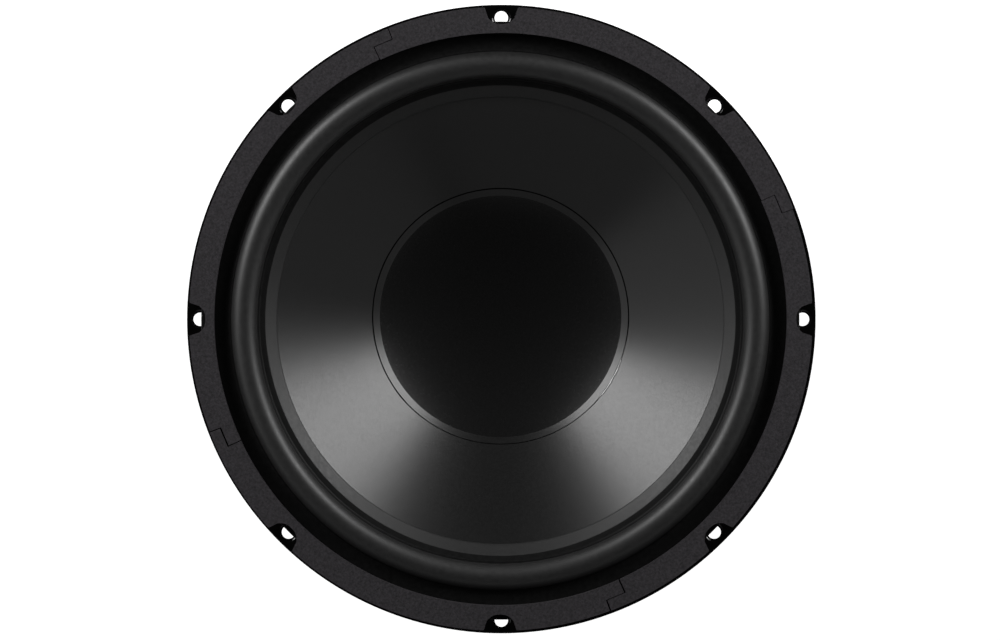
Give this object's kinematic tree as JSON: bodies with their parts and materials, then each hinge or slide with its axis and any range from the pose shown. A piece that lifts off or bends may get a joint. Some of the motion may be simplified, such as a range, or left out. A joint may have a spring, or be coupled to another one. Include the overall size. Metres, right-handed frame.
{
  "type": "car subwoofer speaker",
  "caption": "Round car subwoofer driver: pressed steel frame, straight cone with dished dust cap on a rubber half-roll edge, ferrite motor and sprung push terminals.",
  "frame": {"origin": "on the speaker's axis at the rear face of the magnet boot, which it lies on", "axes": "+Z along the speaker's axis, out of the front of the cone; +Y is the top of the front view and +X its right; each pair of terminals faces -Y or +Y"},
  "size_m": [0.312, 0.312, 0.1357],
  "materials": {
    "frame_enamel": "gloss",
    "gasket": "matte",
    "edge_rubber": "satin",
    "cone_poly": "satin",
    "cap_poly": "matte",
    "spider_cloth": "matte",
    "zinc_steel": "satin",
    "screen_steel": "satin",
    "rivet_steel": "satin",
    "ferrite": "matte",
    "boot_rubber": "matte",
    "former_aluminium": "satin",
    "coil_copper": "gloss",
    "contact_brass": "satin",
    "terminal_plastic": "satin",
    "button_red": "satin",
    "button_black": "satin",
    "spring_steel": "satin",
    "tinsel_braid": "satin"
  },
  "bodies": {
    "frame": {"basket": "frame_enamel", "gasket_1": "gasket", "gasket_2": "gasket", "gasket_3": "gasket", "gasket_4": "gasket", "surround": "edge_rubber", "spider": "spider_cloth", "yoke": "zinc_steel", "magnet": "ferrite", "top_plate": "zinc_steel", "magnet_boot": "boot_rubber", "vent_screen": "screen_steel", "plate_screw_1": "zinc_steel", "plate_screw_2": "zinc_steel", "plate_screw_3": "zinc_steel", "plate_screw_4": "zinc_steel", "terminal_block_1": "terminal_plastic", "terminal_block_2": "terminal_plastic", "rivet_1": "rivet_steel", "rivet_2": "rivet_steel", "rivet_3": "rivet_steel", "rivet_4": "rivet_steel", "contact_1": "contact_brass", "contact_2": "contact_brass", "contact_3": "contact_brass", "contact_4": "contact_brass", "button_spring_1": "spring_steel", "button_spring_2": "spring_steel", "button_spring_3": "spring_steel", "button_spring_4": "spring_steel", "tinsel_lead_1": "tinsel_braid", "tinsel_lead_2": "tinsel_braid", "tinsel_lead_3": "tinsel_braid", "tinsel_lead_4": "tinsel_braid"},
    "cone_assembly": {"cone": "cone_poly", "dust_cap": "cap_poly", "voice_coil_former": "former_aluminium", "voice_coil": "coil_copper"},
    "button_1": {"push_button_1": "button_red"},
    "button_2": {"push_button_2": "button_black"},
    "button_3": {"push_button_3": "button_red"},
    "button_4": {"push_button_4": "button_black"}
  },
  "joints": [
    {"name": "cone_travel", "type": "slide", "parent": "frame", "child": "cone_assembly", "axis": [0, 0, 1], "range_m": [-0.009, 0.009], "stiffness_N_per_m": 4000, "deforming": ["surround", "spider", "tinsel_lead_1", "tinsel_lead_2", "tinsel_lead_3", "tinsel_lead_4"]},
    {"name": "button_press_1", "type": "slide", "parent": "frame", "child": "button_1", "axis": [0, 0, 1], "range_m": [0, 0.0035], "stiffness_N_per_m": 300, "springref_m": -0.004, "deforming": ["button_spring_1"]},
    {"name": "button_press_2", "type": "slide", "parent": "frame", "child": "button_2", "axis": [0, 0, 1], "range_m": [0, 0.0035], "stiffness_N_per_m": 300, "springref_m": -0.004, "deforming": ["button_spring_2"]},
    {"name": "button_press_3", "type": "slide", "parent": "frame", "child": "button_3", "axis": [0, 0, 1], "range_m": [0, 0.0035], "stiffness_N_per_m": 300, "springref_m": -0.004, "deforming": ["button_spring_3"]},
    {"name": "button_press_4", "type": "slide", "parent": "frame", "child": "button_4", "axis": [0, 0, 1], "range_m": [0, 0.0035], "stiffness_N_per_m": 300, "springref_m": -0.004, "deforming": ["button_spring_4"]}
  ]
}
